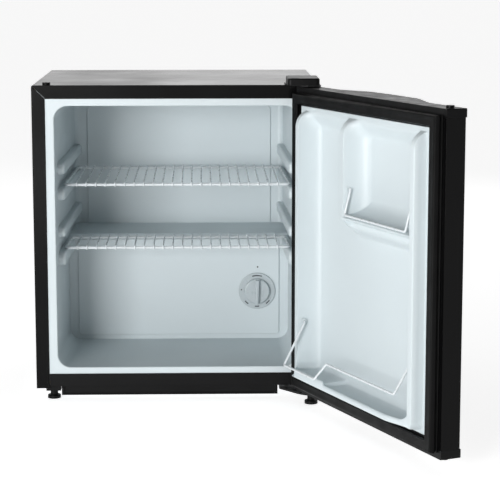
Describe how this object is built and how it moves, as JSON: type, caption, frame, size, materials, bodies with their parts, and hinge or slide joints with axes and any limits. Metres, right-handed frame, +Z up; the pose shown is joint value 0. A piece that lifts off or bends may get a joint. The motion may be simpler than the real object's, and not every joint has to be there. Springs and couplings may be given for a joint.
{
  "type": "mini fridge",
  "caption": "Table-top refrigerator with a side-hinged door, wire shelves, door pockets with wire guards, a thermostat dial and a rear condenser.",
  "frame": {"origin": "on the floor under the door's hinge axis, at the middle of the front right foot's pad", "axes": "+Z up along the door's hinge axis, +X to the right as seen from the front, +Y towards the rear of the cabinet"},
  "size_m": [0.6099, 0.8415, 0.508],
  "materials": {
    "black_enamel": "semi-gloss black baked enamel on steel sheet",
    "black_plastic": "fine-textured black moulded plastic",
    "black_steel": "black painted steel bracket",
    "white_liner": "glossy white vacuum-formed polystyrene",
    "white_wire": "white plastic-coated steel wire",
    "gasket_rubber": "matt black magnetic door seal",
    "magnet": "dark bonded ferrite strip",
    "insulation": "rigid yellow polyurethane foam",
    "zinc_steel": "bright zinc-plated steel",
    "galvanised": "galvanised steel sheet",
    "copper": "copper tube",
    "aluminium": "plain aluminium",
    "compressor_black": "gloss black painted steel can",
    "condenser_black": "black painted steel tube and wire",
    "dial_grey": "smooth light grey moulded plastic",
    "black_rubber": "black rubber",
    "acetal": "natural white acetal bush"
  },
  "bodies": {
    "cabinet": {"outer_wrap": "black_enamel", "bottom_front_bar": "black_plastic", "base_pan": "galvanised", "rear_panel": "galvanised", "liner": "white_liner", "cabinet_foam": "insulation", "toe_skirt": "black_plastic", "front_left_bracket": "black_plastic", "rear_feet": "black_plastic", "top_hole_plug": "black_plastic", "hinge_bottom_bracket": "black_steel", "hinge_pin_bottom": "zinc_steel", "hinge_top_plate": "black_steel", "hinge_pin_top": "zinc_steel", "hinge_top_cover": "black_plastic", "hinge_top_screws": "zinc_steel", "hinge_bottom_screws": "zinc_steel", "compressor": "compressor_black", "compressor_plate": "galvanised", "compressor_grommets": "black_rubber", "compressor_bolts": "zinc_steel", "relay_box": "black_plastic", "terminal_box": "black_plastic", "cord_gland": "black_plastic", "evaporator_plate": "aluminium", "evaporator_tube": "aluminium", "condenser_tube": "condenser_black", "condenser_wires": "condenser_black", "condenser_clips": "black_plastic", "filter_drier": "copper", "discharge_tube": "copper", "liquid_tube": "copper", "capillary_tube": "copper", "suction_tube": "copper", "thermostat_body": "acetal"},
    "door": {"door_skin": "black_enamel", "door_cap_top": "black_plastic", "door_cap_bottom": "black_plastic", "door_bushing_top": "acetal", "door_bushing_bottom": "acetal", "door_liner": "white_liner", "door_foam": "insulation", "gasket": "gasket_rubber", "gasket_magnets": "magnet", "bail_grommets": "white_liner", "door_plugs": "black_plastic"},
    "lower_bail": {"lower_bail": "white_wire"},
    "upper_bail": {"upper_bail": "white_wire"},
    "upper_shelf": {"upper_shelf": "white_wire"},
    "lower_shelf": {"lower_shelf": "white_wire"},
    "thermostat_dial": {"thermostat_dial": "dial_grey", "thermostat_spindle": "acetal"},
    "front_right_foot": {"front_right_foot": "black_plastic"},
    "front_left_foot": {"front_left_foot": "black_plastic"}
  },
  "joints": [
    {"name": "door_hinge", "type": "hinge", "parent": "cabinet", "child": "door", "pos_m": [0, 0, 0.25], "axis": [0, 0, 1], "range_deg": [-113.1, 21.9]},
    {"name": "upper_shelf_slide", "type": "slide", "parent": "cabinet", "child": "upper_shelf", "axis": [0, -1, 0], "range_m": [0, 0.1]},
    {"name": "lower_shelf_slide", "type": "slide", "parent": "cabinet", "child": "lower_shelf", "axis": [0, -1, 0], "range_m": [0, 0.05]},
    {"name": "thermostat_turn", "type": "hinge", "parent": "cabinet", "child": "thermostat_dial", "pos_m": [-0.0775, 0.236, 0.135], "axis": [0, 1, 0], "range_deg": [0, 225]},
    {"name": "lower_bail_swing", "type": "hinge", "parent": "door", "child": "lower_bail", "pos_m": [0.04964, -0.20278, 0.141], "axis": [-0.3923, 0.9198, 0], "range_deg": [-40, 60]},
    {"name": "upper_bail_swing", "type": "hinge", "parent": "door", "child": "upper_bail", "pos_m": [0.0771, -0.26717, 0.362], "axis": [-0.3923, 0.9198, 0], "range_deg": [0, 80]},
    {"name": "front_right_foot_turn", "type": "hinge", "parent": "cabinet", "child": "front_right_foot", "pos_m": [0, 0, 0], "axis": [0, 0, 1], "range_deg": [-720, 720]},
    {"name": "front_left_foot_turn", "type": "hinge", "parent": "cabinet", "child": "front_left_foot", "pos_m": [-0.4045, 0.048, 0], "axis": [0, 0, 1], "range_deg": [-720, 720]}
  ]
}
